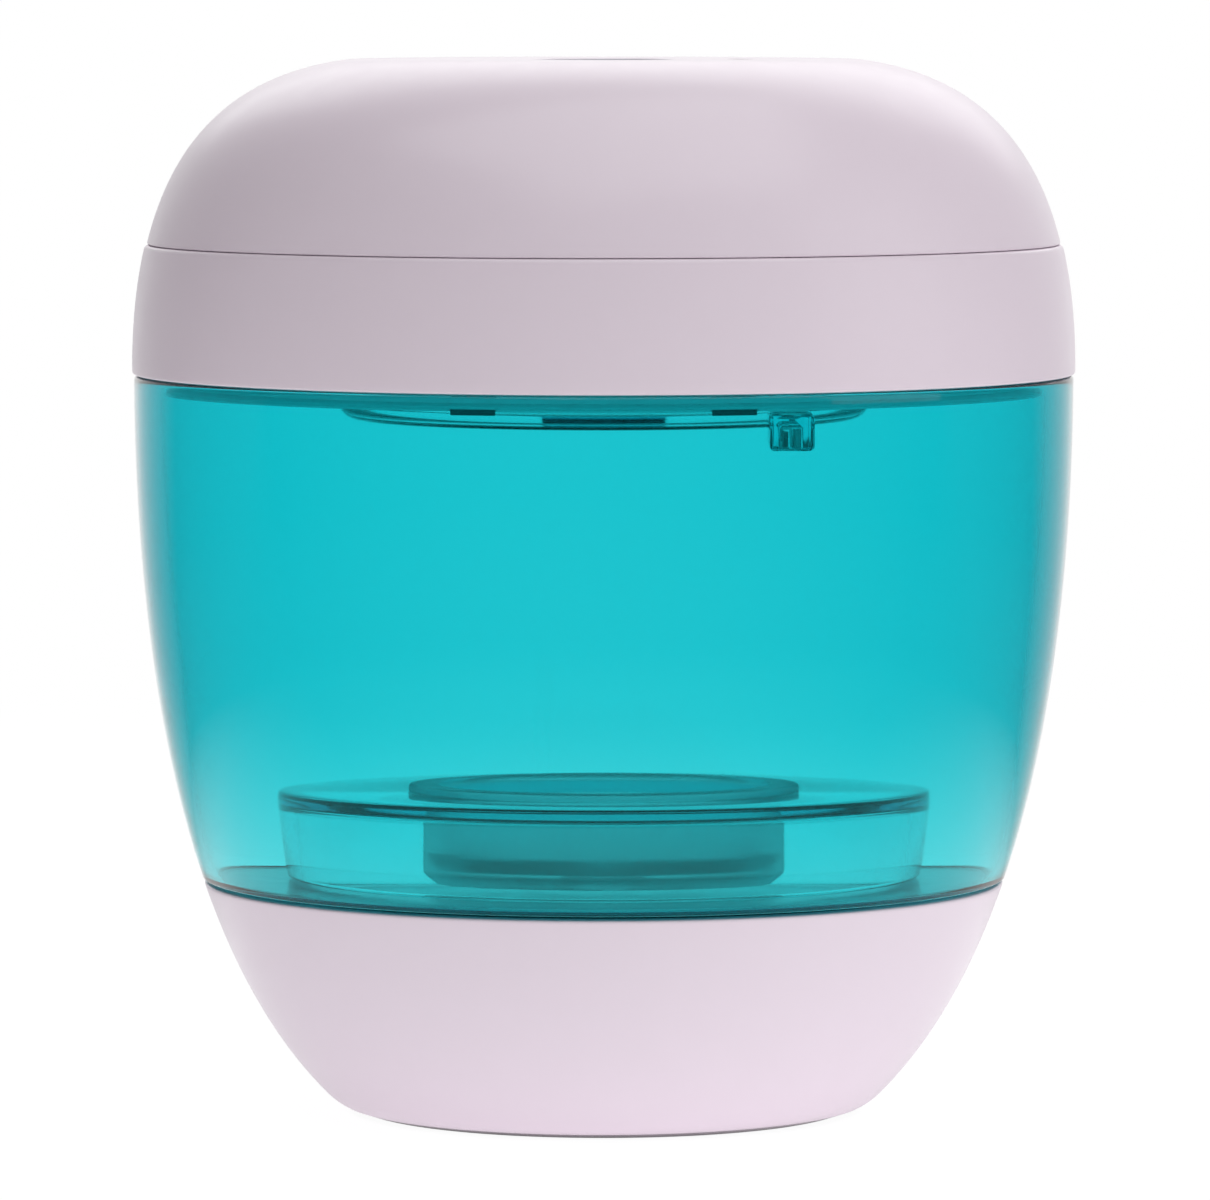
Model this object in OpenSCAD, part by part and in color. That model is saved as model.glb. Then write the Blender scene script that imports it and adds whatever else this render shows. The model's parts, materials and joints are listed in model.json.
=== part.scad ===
// Pacifier sterilizer case: an egg-shaped case with a weighted base, a clear tinted chamber,
// a lift-out pacifier holder and a hinged lid that holds the lamp, board and battery.
// The origin is the centre of the flat underside, +Z is up, the front is -Y, the hinge is at +Y.

/* [Outline] */
// Largest diameter of the case
body_d = 76; // [69:0.5:83]
// Height of the closed case
body_h = 85.2; // [77:0.2:93]
// Height of the top above the widest level
shoulder_h = 25; // [24:0.2:26]
// Diameter of the flat top
top_flat_d = 41.4; // [38:0.2:46]
// Length of the shoulder curve's handle at the widest level
shoulder_rise = 17.8; // [16:0.1:20]
// Length of the shoulder curve's handle at the flat top
shoulder_run = 9.6; // [8:0.1:12]
// Slope of the shoulder where it meets the flat top, in degrees
shoulder_slope = 7.5; // [4:0.5:10]
// Length of the flank curve's handle at the widest level
flank_drop = 23.6; // [20:0.1:26]
// Length of the flank curve's handle at the foot
flank_run = 16.3; // [14:0.1:18]
// Slope of the flank where it meets the foot, in degrees
flank_slope = 45; // [40:1:50]
// Diameter of the flat underside
foot_d = 37.6; // [36:0.2:44]
// Radius of the round between the underside and the flank
foot_round = 5.4; // [4:0.1:7]

/* [Seams] */
// Height of the seam between base and chamber
base_seam_z = 18.9; // [17:0.1:21]
// Height of the lid, from its lower seam to the top
lid_h = 25.4; // [25:0.1:26]
// Height of the lid's cap, from its seam to the top
cap_h = 14.9; // [14:0.1:15.5]
// Width of each seam
seam_gap = 0.3; // [0.2:0.05:0.5]
// How far the lid ring stands proud of its neighbours
ring_proud = 0.15; // [0.05:0.05:0.3]

/* [Walls] */
// Wall of the base shell
base_wall = 2; // [1.6:0.1:2.6]
// Wall of the chamber
chamber_wall = 2.2; // [1.8:0.1:2.6]
// Wall of the lid's cap and ring
lid_wall = 2; // [1.6:0.1:2.4]
// Thickness of the chamber's floor
floor_t = 1.8; // [1.4:0.1:2.4]
// Height of the chamber's floor above the base seam
floor_rise = 0.4; // [0.2:0.1:1]

/* [Base] */
// Diameter of the non-slip pad
pad_d = 33; // [24:0.5:34]
// Thickness of the non-slip pad
pad_t = 1; // [0.8:0.1:1.4]
// How far the pad stands below the shell
pad_proud = 0.2; // [0.2:0.1:0.4]
// Thickness of the base shell's floor above the pad
base_floor_t = 1.6; // [1.2:0.1:2]
// Thickness of the ballast disc
ballast_t = 5; // [3:0.5:6.5]
// Radius of the circle of ballast screws
ballast_screw_r = 11; // [9:0.5:13]
// Diameter of the bosses that the ballast sits over
ballast_boss_d = 4.8; // [4.4:0.1:5.4]
// Height of the chamber's spigot inside the base
spigot_h = 3.6; // [3:0.1:5]
// Width of each snap lug on the chamber's spigot
lug_w = 8; // [5:0.5:10]

/* [Holder] */
// Diameter of the pacifier holder
holder_d = 52.8; // [50:0.2:55]
// Height of the pacifier holder
holder_h = 7.7; // [6.5:0.1:9]
// Thickness of the holder's top plate
holder_top_t = 1.0; // [0.8:0.1:2]
// Wall of the holder's skirt and of its cup
holder_wall = 1.4; // [1.2:0.1:1.8]
// Outer diameter of the soft cup that takes the pacifier's knob
cup_d = 29.2; // [27:0.2:31]
// Width of the cup's lip over the holder's top
cup_lip = 1.2; // [0.8:0.1:1.6]
// Diameter of the drain hole in the cup's floor
drain_d = 6; // [4:0.5:10]

/* [Lid] */
// Height of the hinge axis above the lid seam
hinge_rise = 2.2; // [2:0.1:2.5]
// Distance of the hinge axis behind the body
hinge_out = 1.8; // [1.6:0.1:2.2]
// Radius of the hinge knuckles
knuckle_r = 2.3; // [2.1:0.1:2.5]
// Width of the chamber's middle knuckle
knuckle_w = 7; // [5:0.5:9]
// Width of each of the lid's side knuckles
side_knuckle_w = 4; // [3:0.5:5]
// Diameter of the hinge pin
pin_d = 1.8; // [1.6:0.1:2]
// Thickness of the lid's inner plate
plate_t = 1.6; // [1.4:0.1:2]
// Depth of the lid's spigot below the inner plate
lid_spigot_h = 1.7; // [1.5:0.1:2.1]
// Thickness of the ring's inner flange
flange_t = 1.2; // [1:0.1:1.6]
// Diameter of the posts that take the screws in the lid
post_d = 5.2; // [4.6:0.1:5.6]
// Width of the ring's inner flange
flange_w = 3.6; // [3.2:0.1:4]
// Width of the interlock's post at the chamber's rim
stop_w = 3.4; // [3:0.1:5]

/* [Lamp] */
// Diameter of the clear lamp cover
cover_d = 43; // [41:0.5:44]
// Depth of the lamp cover below the inner plate
cover_h = 3.9; // [3.4:0.1:4.6]
// Wall of the lamp cover
cover_wall = 1.2; // [1:0.1:1.4]
// Radius of the lamp cover's lower edge
cover_round = 2.6; // [1.6:0.1:3]
// Diameter of the lamp tube
tube_d = 3.8; // [3:0.1:4]
// Distance between the lamp's two legs
tube_pitch = 10; // [8:0.5:12]
// Length of the lamp's straight legs
tube_l = 24; // [20:0.5:25]
// Thickness of the reflector sheet
reflector_t = 0.5; // [0.4:0.1:0.8]
// Height of the reflector's dish
reflector_h = 3.6; // [3:0.1:4]

/* [Electrics] */
// Thickness of the battery
battery_t = 6; // [4:0.5:6.5]
// Gap between the battery and the lid's posts
battery_post_gap = 2.6; // [2.2:0.1:4]
// Gap between the circuit board and the lid's posts
board_post_gap = 0.9; // [0.6:0.1:2]
// Thickness of the circuit board
board_t = 1.6; // [1:0.1:1.8]
// Distance of the board screws from the board's edge
board_screw_in = 4.5; // [4:0.1:6]
// Width of the charging socket
usb_w = 7.6; // [7:0.1:9]
// Height of the charging socket
usb_h = 2.7; // [2.4:0.1:3.2]
// Length of the charging socket
usb_l = 5.6; // [5:0.1:7]
// Diameter of the power button's face
button_d = 11; // [9:0.5:14]
// Travel of the power button
button_travel = 0.6; // [0.4:0.05:0.8]
// Width of the key switch below the button
switch_w = 6; // [5:0.5:7]
// Diameter of the status light's pipe
light_d = 2; // [1.5:0.1:2.5]
// Distance of the status light from the axis
light_r = 11; // [10.5:0.5:13]
// Diameter of the interlock plunger
plunger_d = 2.4; // [2:0.1:2.6]
// Travel of the interlock plunger
plunger_travel = 1.2; // [0.8:0.1:1.4]
// Angle of the interlock, clockwise from the front
interlock_angle = 28; // [22:1:30]

/* [Fits] */
// Gap between parts that move past each other
run_gap = 0.3; // [0.25:0.05:0.35]
// Gap between fixed parts that fit together
fit_gap = 0.1; // [0.05:0.05:0.2]
// Gap round the hinge pin
pin_gap = 0.05; // [0.03:0.01:0.08]
// Diameter of the screws' shanks
screw_d = 2; // [1.8:0.1:2.2]
// Diameter of the screws' heads
screw_head_d = 3.8; // [3.4:0.1:4]
// Height of the screws' heads
screw_head_h = 1.2; // [1:0.1:1.3]

/* [Hidden] */
$fn = 96;
steps = 18;
tiny = 0.02;

// Levels measured down from the top
belly_z = body_h - shoulder_h;
lid_seam_z = body_h - lid_h;
cap_seam_z = body_h - cap_h;

// Outline of the case, from the foot up, as [radius, height] points
foot_r = foot_d / 2;
flank_foot = [foot_r + foot_round * sin(flank_slope), foot_round * (1 - cos(flank_slope))];
belly = [body_d / 2, belly_z];
top_edge = [top_flat_d / 2, body_h];
function bezier(p, t) =
    pow(1 - t, 3) * p[0] + 3 * t * pow(1 - t, 2) * p[1] + 3 * t * t * (1 - t) * p[2] + pow(t, 3) * p[3];
foot_arc = [for (i = [0:6]) let (a = flank_slope * i / 6)
    [foot_r + foot_round * sin(a), foot_round * (1 - cos(a))]];
flank = [flank_foot, flank_foot + flank_run * [cos(flank_slope), sin(flank_slope)],
    belly - [0, flank_drop], belly];
shoulder = [belly, belly + [0, shoulder_rise],
    top_edge + shoulder_run * [cos(shoulder_slope), -sin(shoulder_slope)], top_edge];
outline = concat(foot_arc, [for (i = [1:steps]) bezier(flank, i / steps)],
    [for (i = [1:steps]) bezier(shoulder, i / steps)]);

function unit(v) = v / norm(v);
function reversed(list) = [for (i = [len(list) - 1:-1:0]) list[i]];
// The outline moved inwards by a wall, or outwards by a negative one
function inset(wall) = [for (i = [0:len(outline) - 1])
    let (d = unit(outline[min(i + 1, len(outline) - 1)] - outline[max(i - 1, 0)]))
    outline[i] + wall * [-d[1], d[0]]];
function radius_at(curve, z) = lookup(z, [for (p = curve) [p[1], p[0]]]);
// The stretch of a curve between two heights
function between(curve, low, high) = concat([[radius_at(curve, low), low]],
    [for (p = curve) if (p[1] > low + 0.05 && p[1] < high - 0.05) p], [[radius_at(curve, high), high]]);
base_inside = inset(base_wall);
chamber_inside = inset(chamber_wall);
lid_inside = inset(lid_wall);
ring_outside = inset(-ring_proud);

// Heights in the base and chamber
base_top = base_seam_z - seam_gap / 2;
chamber_bottom = base_seam_z + seam_gap / 2;
chamber_top = lid_seam_z - seam_gap / 2;
floor_top = base_seam_z + floor_rise;
floor_bottom = floor_top - floor_t;
spigot_bottom = chamber_bottom - spigot_h;
spigot_r = radius_at(base_inside, spigot_bottom) - fit_gap;
spigot_wall = 1.8;
lug_h = 1.4;
lug_out = 0.9;
lug_z = spigot_bottom + 0.6;
base_floor_top = pad_t + base_floor_t;
ballast_z = base_floor_top;
ballast_r = radius_at(base_inside, base_floor_top) - run_gap - 0.6;
ballast_top = ballast_z + ballast_t;
boss_top = ballast_top - 0.1;
ballast_angles = [90, 210, 330];

// Heights in the holder
holder_bottom = floor_top + 0.2;
holder_draft = 0.8;
holder_top = holder_bottom + holder_h;
cup_bottom = holder_bottom + 0.7;
cup_floor = cup_bottom + holder_wall;
cup_lip_t = 0.6;

// Heights in the lid, worked upwards from its seam
ring_bottom = lid_seam_z + seam_gap / 2;
ring_top = cap_seam_z - seam_gap / 2;
cap_bottom = cap_seam_z + seam_gap / 2;
plate_bottom = ring_bottom + 0.2;
plate_top = plate_bottom + plate_t;
flange_top = plate_top + flange_t;
ring_in_r = radius_at(lid_inside, plate_bottom);
plate_r = ring_in_r - fit_gap;
flange_in_r = ring_in_r - flange_w;
lid_spigot_bottom = plate_bottom - lid_spigot_h;
seal_r = radius_at(chamber_inside, chamber_top) - run_gap;
lid_spigot_r = seal_r - 0.8;
lid_spigot_in_r = lid_spigot_r - 1.8;
lip_r = seal_r - 0.1;
groove_z = lid_spigot_bottom + 0.15;
groove_h = 0.45;
tab_x = 9.9;
tab_w = 3.4;
tab_h = 0.3;
cap_ceiling = body_h - lid_wall;
tongue_h = 2;
tongue_r = radius_at(lid_inside, ring_top) - fit_gap;
tongue_wall = 1.2;
tongue_back = 1.4;
tongue_foot = 1.5;
post_r = flange_in_r - screw_head_d / 2 - 1;
screw_head_gap = 0.2;
head_seat = 0.7;
lid_screw_grip = 7;
board_screw_grip = 3.8;
bore_spare = 0.7;

// Hinge
hinge_y = body_d / 2 + hinge_out;
hinge_z = lid_seam_z + hinge_rise;
knuckle_gap = 0.25;
notch_w = knuckle_w + 2 * knuckle_gap;
notch_y = hinge_y - knuckle_r - run_gap;
arm_h = 4.5;
web_h = 1.5;

// Lamp
cover_bottom = plate_bottom - cover_h;
cover_r = cover_d / 2;
cover_lip_r = cover_r - 1.2;
lamp_open_r = cover_lip_r + fit_gap;
cover_lip_wall = 0.9;
tube_z = plate_bottom + 0.4;
tube_end_x = -(tube_l + tube_pitch / 2 + tube_d / 2) / 2 + 2.4;
boot_l = 4;
boot_lap = 1.6;
boot_foot_r = 1.2;
boot_r = tube_d / 2 + 0.7;
boot_x = tube_end_x - boot_l;
lead_r = 0.5;
lead_x = boot_x + 1;
reflector_flange_r = lamp_open_r + 1.4;
dish_top = plate_top + reflector_h;
dish_rim_r = cover_lip_r - 0.6;
dish_slope = 1.2;

// Battery and board, stacked above the reflector
tray_wall = 1.2;
tray_floor_z = dish_top + reflector_t + 0.1;
battery_z = tray_floor_z + tray_wall;
tray_reach = post_r - post_d / 2 - battery_post_gap + tray_wall;
tray_corner_angle = 40;
tray_left = lead_x + lead_r + 0.4;
tray_right = tray_reach * cos(tray_corner_angle);
tray_w = 2 * tray_reach * sin(tray_corner_angle);
tray_l = tray_right - tray_left;
tray_skin = tray_wall + fit_gap;
battery_l = tray_l - 2 * tray_skin;
battery_w = tray_w - 2 * tray_skin;
battery_shift = (tray_left + tray_right) / 2;
tray_leg_r = 1.3;
tray_leg_x = battery_l / 2 + fit_gap + 0.8;
tray_leg_y = battery_w / 2 + fit_gap + 1.2;
board_room = 6.1;
board_z = cap_ceiling - board_room - board_t;
board_top = board_z + board_t;
board_r = post_r - post_d / 2 - board_post_gap;
board_screw_r = board_r - board_screw_in;
board_angles = [90, 210, 330];
post_angles = [45, 135, 225, 315];

// Parts on the board, the tall ones hanging between the battery and the board's edge
edge_room = board_r - tray_w / 2;
edge_y = -(board_r + tray_w / 2) / 2;
core_l = 10;
core_w = 0.66 * edge_room;
core_h = 5;
core_base_l = 12;
core_base_w = 0.72 * edge_room;
core_base_h = 1.2;
capacitor_r = 0.22 * edge_room;
capacitor_h = 5.5;
capacitor_x = core_base_l / 2 + 2 * capacitor_r + 0.8;
capacitor_y = edge_y + 1.1;
chip_h = 1.2;
led_l = 3.2;
led_w = 2.8;
led_h = 1.8;

// Button, from the top down
button_face = body_h - 0.1;
button_flange_t = 1;
button_flange_top = cap_ceiling - run_gap;
button_flange_bottom = button_flange_top - button_flange_t;
button_flange_r = button_d / 2 + 1.4;
guide_h = 1.6;
key_top = button_flange_bottom - button_travel - 0.1;
key_cap_h = 0.9;
key_r = 1.7;

// Charging socket on its own board at the back of the ring
charge_board_t = 1.2;
charge_board_z = ring_top - tongue_h - run_gap - usb_h - charge_board_t;
charge_board_w = 16;
charge_board_back = ring_in_r - 0.9;
charge_board_l = 10.7;
charge_board_front = charge_board_back - charge_board_l;
port_gap = 0.7;
port_deep = 6;
rail_w = 2;
rail_x = (charge_board_w - rail_w) / 2;
usb_z = charge_board_z + charge_board_t;
usb_back = radius_at(lid_inside, usb_z) + 0.2;
charge_lead_y = charge_board_front + 0.8;
charge_lead_x = 2.4;

// Interlock
stop_top = lid_spigot_bottom - run_gap;
stop_h = 2.8;
plunger_r = flange_in_r - plunger_d / 2 - 0.8;
stop_in_r = plunger_r - plunger_d / 2 - 0.4;
stop_out_r = radius_at(chamber_inside, stop_top) + 0.5;
plunger_tip = stop_top + run_gap;
plunger_collar_z = plate_top + plunger_travel + 0.1;
plunger_collar_h = 0.8;
plunger_top = plunger_collar_z + plunger_collar_h + 0.4;
latch_z = plunger_top + run_gap;
latch_l = 8;
latch_w = 4;
latch_h = 4.4;
latch_leg_r = 0.8;
latch_leg_x = latch_l / 2 - latch_leg_r;

// A solid of revolution from a list of [radius, height] points
module turned(points) {
    rotate_extrude() polygon(points);
}

// A flat bar with rounded vertical corners, standing on z = 0
module rounded_block(l, w, h, r) {
    linear_extrude(h) union() {
        square([l - 2 * r, w], center = true);
        square([l, w - 2 * r], center = true);
        for (x = [-1, 1], y = [-1, 1]) translate([x * (l / 2 - r), y * (w / 2 - r)]) circle(r, $fn = 32);
    }
}

// A cylinder along X, from x = low to x = high, at the given y and z
module x_cylinder(low, high, y, z, r) {
    translate([low, y, z]) rotate([0, 90, 0]) cylinder(r = r, h = high - low);
}

// A screw with its head's underside at z = 0 and its shank pointing up
module screw_up(length) {
    union() {
        translate([0, 0, -tiny]) cylinder(d = screw_d, h = length + tiny, $fn = 32);
        difference() {
            translate([0, 0, -screw_head_h]) cylinder(d = screw_head_d, h = screw_head_h, $fn = 48);
            translate([0, 0, -screw_head_h - tiny]) cross_recess();
        }
    }
}

module cross_recess() {
    for (a = [0, 90]) rotate(a) translate([0, 0, 0.35]) cube([2.2, 0.5, 0.7], center = true);
}

// Places its children at each angle on a circle
module around(angles, r) {
    for (a = angles) rotate(a) translate([r, 0, 0]) children();
}

module base_shell() {
    color([0.92, 0.89, 0.92]) difference() {
        union() {
            turned(concat([[0, pad_proud]], between(outline, pad_proud, base_top),
                reversed(between(base_inside, base_floor_top, base_top)), [[0, base_floor_top]]));
            around(ballast_angles, ballast_screw_r)
                translate([0, 0, base_floor_top - tiny])
                    cylinder(d = ballast_boss_d, h = boss_top - base_floor_top + tiny);
        }
        translate([0, 0, -1]) cylinder(d = pad_d + 2 * fit_gap, h = pad_t + 1);
        around(ballast_angles, ballast_screw_r)
            translate([0, 0, base_floor_top]) cylinder(d = screw_d + 2 * pin_gap, h = ballast_t + 1, $fn = 32);
        around([0, 90, 180, 270], 0) snap_lug(fit_gap);
    }
}

// A snap lug on the chamber's spigot, or its pocket when grown by a gap
module snap_lug(grow) {
    intersection() {
        turned([[spigot_r - 1, lug_z - grow], [spigot_r + fit_gap, lug_z - grow],
            [spigot_r + lug_out + grow, lug_z + lug_h - 0.4], [spigot_r + lug_out + grow, lug_z + lug_h + grow],
            [spigot_r - 1, lug_z + lug_h + grow]]);
        translate([spigot_r, 0, lug_z + lug_h / 2]) cube([6, lug_w + 2 * grow, 6], center = true);
    }
}

module foot_pad() {
    color([0.8, 0.8, 0.82]) cylinder(d = pad_d, h = pad_t);
}

module ballast_disc() {
    color([0.6, 0.6, 0.62]) difference() {
        translate([0, 0, ballast_z]) cylinder(r = ballast_r, h = ballast_t);
        around(ballast_angles, ballast_screw_r) translate([0, 0, ballast_z - 1])
            cylinder(d = ballast_boss_d + 2 * fit_gap, h = ballast_t + 2);
    }
}

module ballast_screws() {
    color([0.75, 0.75, 0.78]) around(ballast_angles, ballast_screw_r) translate([0, 0, ballast_top]) {
        rotate([180, 0, 0]) screw_up(ballast_t - 0.4);
        difference() {
            cylinder(d = ballast_boss_d + 2, h = 0.4);
            translate([0, 0, -1]) cylinder(d = screw_d - 0.1, h = 3, $fn = 32);
        }
    }
}

module chamber() {
    color([0.1, 0.78, 0.82, 0.5]) difference() {
        union() {
            turned(concat([[0, floor_bottom], [spigot_r - spigot_wall, floor_bottom],
                [spigot_r - spigot_wall, spigot_bottom], [spigot_r, spigot_bottom], [spigot_r, chamber_bottom]],
                between(outline, chamber_bottom, chamber_top),
                reversed(between(chamber_inside, floor_top, chamber_top)), [[0, floor_top]]));
            around([0, 90, 180, 270], 0) snap_lug(0);
            // Post that holds the interlock plunger up while the lid is shut
            intersection() {
                turned([[stop_in_r, stop_top - stop_h], [stop_out_r, stop_top - stop_h],
                    [stop_out_r, stop_top], [stop_in_r, stop_top]]);
                translate([plunger_r * sin(interlock_angle), -stop_out_r, stop_top - stop_h / 2])
                    cube([stop_w, stop_out_r, 2 * stop_h], center = true);
            }
            chamber_knuckle();
        }
        x_cylinder(-knuckle_w, knuckle_w, hinge_y, hinge_z, pin_d / 2 + 0.02);
    }
}

// Arm that carries the middle hinge knuckle behind the chamber's rim
module chamber_knuckle() {
    wall_y = radius_at(outline, chamber_top) - 0.6;
    arm_y = hinge_y - knuckle_r;
    foot_z = chamber_top - arm_h;
    translate([-knuckle_w / 2, 0, 0]) rotate([90, 0, 90]) linear_extrude(knuckle_w)
        polygon([[radius_at(outline, foot_z) - 0.6, foot_z], [hinge_y + knuckle_r, hinge_z - 1.6],
            [hinge_y + knuckle_r, hinge_z], [arm_y, hinge_z], [arm_y, chamber_top], [wall_y, chamber_top]]);
    x_cylinder(-knuckle_w / 2, knuckle_w / 2, hinge_y, hinge_z, knuckle_r);
}

module pacifier_holder() {
    r = holder_d / 2;
    plate = holder_top - holder_top_t;
    hole_r = cup_d / 2 + fit_gap;
    foot_r = r - holder_draft;
    color([0.1, 0.72, 0.78, 0.6]) turned([[hole_r, plate], [r - holder_wall, plate],
        [foot_r - holder_wall, holder_bottom], [foot_r, holder_bottom], [r, plate], [r, holder_top],
        [hole_r, holder_top]]);
}

// Soft cup that hangs by its lip in the holder's top
module holder_cup() {
    r = cup_d / 2;
    in_r = r - holder_wall;
    lip_top = holder_top + cup_lip_t;
    color([0.06, 0.5, 0.55]) turned([[drain_d / 2, cup_bottom], [r - 1.2, cup_bottom], [r, cup_bottom + 1.2],
        [r, holder_top], [r + cup_lip, holder_top], [r + cup_lip, lip_top - 0.3], [r + cup_lip - 0.3, lip_top],
        [in_r, lip_top], [in_r, cup_floor + 1], [in_r - 1, cup_floor], [drain_d / 2, cup_floor]]);
}

module lid_ring() {
    port_w = usb_w + 2 * port_gap;
    port_h = usb_h + 2 * port_gap;
    color([0.92, 0.89, 0.92]) difference() {
        union() {
            turned(concat(between(ring_outside, ring_bottom, ring_top),
                reversed(between(lid_inside, flange_top, ring_top)),
                [[flange_in_r, flange_top], [flange_in_r, plate_top], [ring_in_r, plate_top],
                [ring_in_r, ring_bottom]]));
            for (x = [-1, 1]) lid_knuckle(x);
            // Rails under the charging board
            for (x = [-1, 1]) intersection() {
                translate([x * rail_x - rail_w / 2, flange_in_r - 0.6, flange_top - tiny])
                    cube([rail_w, flange_w, charge_board_z - flange_top + tiny]);
                cylinder(r = ring_in_r, h = body_h);
            }
        }
        // Notch for the chamber's knuckle
        x_cylinder(-notch_w / 2, notch_w / 2, hinge_y, hinge_z, knuckle_r + run_gap);
        translate([-notch_w / 2, notch_y, ring_bottom - 5]) cube([notch_w, 10, hinge_z - ring_bottom + 5]);
        // Charging port
        translate([0, body_d / 2, usb_z + usb_h / 2]) rotate([90, 0, 0])
            translate([0, 0, -3]) rounded_block(port_w, port_h, port_deep + 3, 1);
        x_cylinder(-body_d / 4, body_d / 4, hinge_y, hinge_z, pin_d / 2 + pin_gap);
    }
}

// One of the lid's two hinge knuckles with its web to the ring
module lid_knuckle(side) {
    x = side > 0 ? notch_w / 2 : -notch_w / 2 - side_knuckle_w;
    web_y = ring_in_r + 0.3;
    x_cylinder(x, x + side_knuckle_w, hinge_y, hinge_z, knuckle_r);
    translate([x, web_y, hinge_z - web_h]) cube([side_knuckle_w, hinge_y - web_y, knuckle_r + web_h]);
}

module lid_cap() {
    hole_r = button_d / 2 + run_gap;
    guide_r = button_flange_r + run_gap;
    cap_middle = inset(lid_wall / 2);
    color([0.92, 0.89, 0.92]) difference() {
        union() {
            turned(concat([[tongue_r, cap_bottom]], between(outline, cap_bottom, body_h),
                [[0, body_h], [0, cap_ceiling]],
                reversed(between(lid_inside, cap_bottom + 2 * tongue_foot, cap_ceiling)),
                [[tongue_r - tongue_wall, cap_bottom + tongue_foot],
                [tongue_r - tongue_wall, ring_top - tongue_h], [tongue_r, ring_top - tongue_h]]));
            intersection() {
                union() {
                    around(post_angles, post_r) translate([0, 0, plate_top])
                        cylinder(d = post_d, h = body_h - plate_top, $fn = 48);
                    around(board_angles, board_screw_r) translate([0, 0, board_top])
                        cylinder(d = post_d, h = body_h - board_top, $fn = 48);
                }
                turned(concat([[0, plate_top], [radius_at(lid_inside, cap_bottom) - tongue_back, plate_top]],
                    between(cap_middle, cap_bottom, body_h - lid_wall / 2), [[0, body_h - lid_wall / 2]]));
            }
            // Guide round the power button's flange
            turned([[guide_r, cap_ceiling - guide_h], [guide_r + 1, cap_ceiling - guide_h],
                [guide_r + 1, cap_ceiling + tiny], [guide_r, cap_ceiling + tiny]]);
        }
        translate([0, 0, cap_ceiling - 5]) cylinder(r = hole_r, h = 10);
        translate([light_r, 0, cap_ceiling - 1])
            cylinder(d = light_d + 2 * pin_gap, h = lid_wall + 2, $fn = 32);
        around(post_angles, post_r) translate([0, 0, plate_top - 1])
            cylinder(d = screw_d + 2 * pin_gap, h = lid_screw_grip + bore_spare + 1, $fn = 32);
        around(board_angles, board_screw_r) translate([0, 0, board_top - 1])
            cylinder(d = screw_d + 2 * pin_gap, h = board_screw_grip + bore_spare + 1, $fn = 32);
    }
}

module inner_plate() {
    color([0.93, 0.92, 0.94]) difference() {
        turned([[lamp_open_r, plate_bottom], [lid_spigot_in_r, plate_bottom],
            [lid_spigot_in_r, lid_spigot_bottom], [lip_r, lid_spigot_bottom], [lip_r, groove_z],
            [lid_spigot_r, groove_z], [lid_spigot_r, groove_z + groove_h], [lip_r, groove_z + groove_h],
            [lip_r, plate_bottom], [plate_r, plate_bottom], [plate_r, plate_top], [lamp_open_r, plate_top]]);
        seal_tabs(fit_gap);
        around(post_angles, post_r) translate([0, 0, plate_bottom - 1]) {
            cylinder(d = screw_d + 2 * screw_head_gap, h = plate_t + 2, $fn = 32);
            cylinder(d = screw_head_d + 2 * screw_head_gap, h = 1 + plate_t - head_seat, $fn = 48);
        }
        rotate(interlock_angle) translate([0, -plunger_r, lid_spigot_bottom - 1])
            cylinder(d = plunger_d + 2 * pin_gap, h = plate_top - lid_spigot_bottom + 2, $fn = 32);
    }
}

module lid_seal() {
    color([0.3, 0.35, 0.38]) union() {
        turned([[lid_spigot_r, groove_z], [seal_r - 0.1, groove_z], [seal_r, groove_z + groove_h / 2],
            [seal_r - 0.1, groove_z + groove_h], [lid_spigot_r, groove_z + groove_h]]);
        seal_tabs(0);
    }
}

// The seal's two grip tabs at the front, or their notches when grown by a gap
module seal_tabs(grow) {
    low = lid_spigot_bottom - tab_h;
    intersection() {
        turned([[lid_spigot_r, low - grow], [lip_r + grow, low - grow], [lip_r + grow, groove_z + groove_h / 2],
            [lid_spigot_r, groove_z + groove_h / 2]]);
        for (x = [-1, 1]) translate([x * tab_x - tab_w / 2 - grow, -body_d / 2, low - 1])
            cube([tab_w + 2 * grow, body_d / 2, 5]);
    }
}

module lamp_cover() {
    rim = plate_bottom;
    lip_r = cover_r - cover_wall - cover_lip_wall;
    arc = [for (a = [0:15:90]) [cover_r - cover_round + cover_round * sin(a),
        cover_bottom + cover_round - cover_round * cos(a)]];
    inner_round = cover_round - cover_wall;
    inner_arc = [for (a = [90:-15:0]) [cover_r - cover_round + inner_round * sin(a),
        cover_bottom + cover_round - inner_round * cos(a)]];
    color([0.85, 0.95, 0.97, 0.35]) turned(concat([[0, cover_bottom]], arc,
        [[cover_r, rim], [cover_lip_r, rim], [cover_lip_r, plate_top - 0.1], [lip_r, plate_top - 0.1],
        [lip_r, rim - 0.6], [cover_r - cover_wall, rim - cover_lip_wall]], inner_arc,
        [[0, cover_bottom + cover_wall]]));
}

module lamp_reflector() {
    t = reflector_t;
    dish_r = dish_rim_r - dish_slope;
    color([0.85, 0.86, 0.88]) difference() {
        turned([[reflector_flange_r, plate_top], [reflector_flange_r, plate_top + t],
            [dish_rim_r, plate_top + t], [dish_r, dish_top + t], [0, dish_top + t], [0, dish_top],
            [dish_r - t, dish_top], [dish_rim_r - t, plate_top]]);
        for (y = [-1, 1]) translate([lead_x, y * tube_pitch / 2, plate_top - 2])
            cylinder(r = lead_r + run_gap, h = reflector_h + 4, $fn = 32);
        tray_legs(fit_gap);
    }
}

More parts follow.
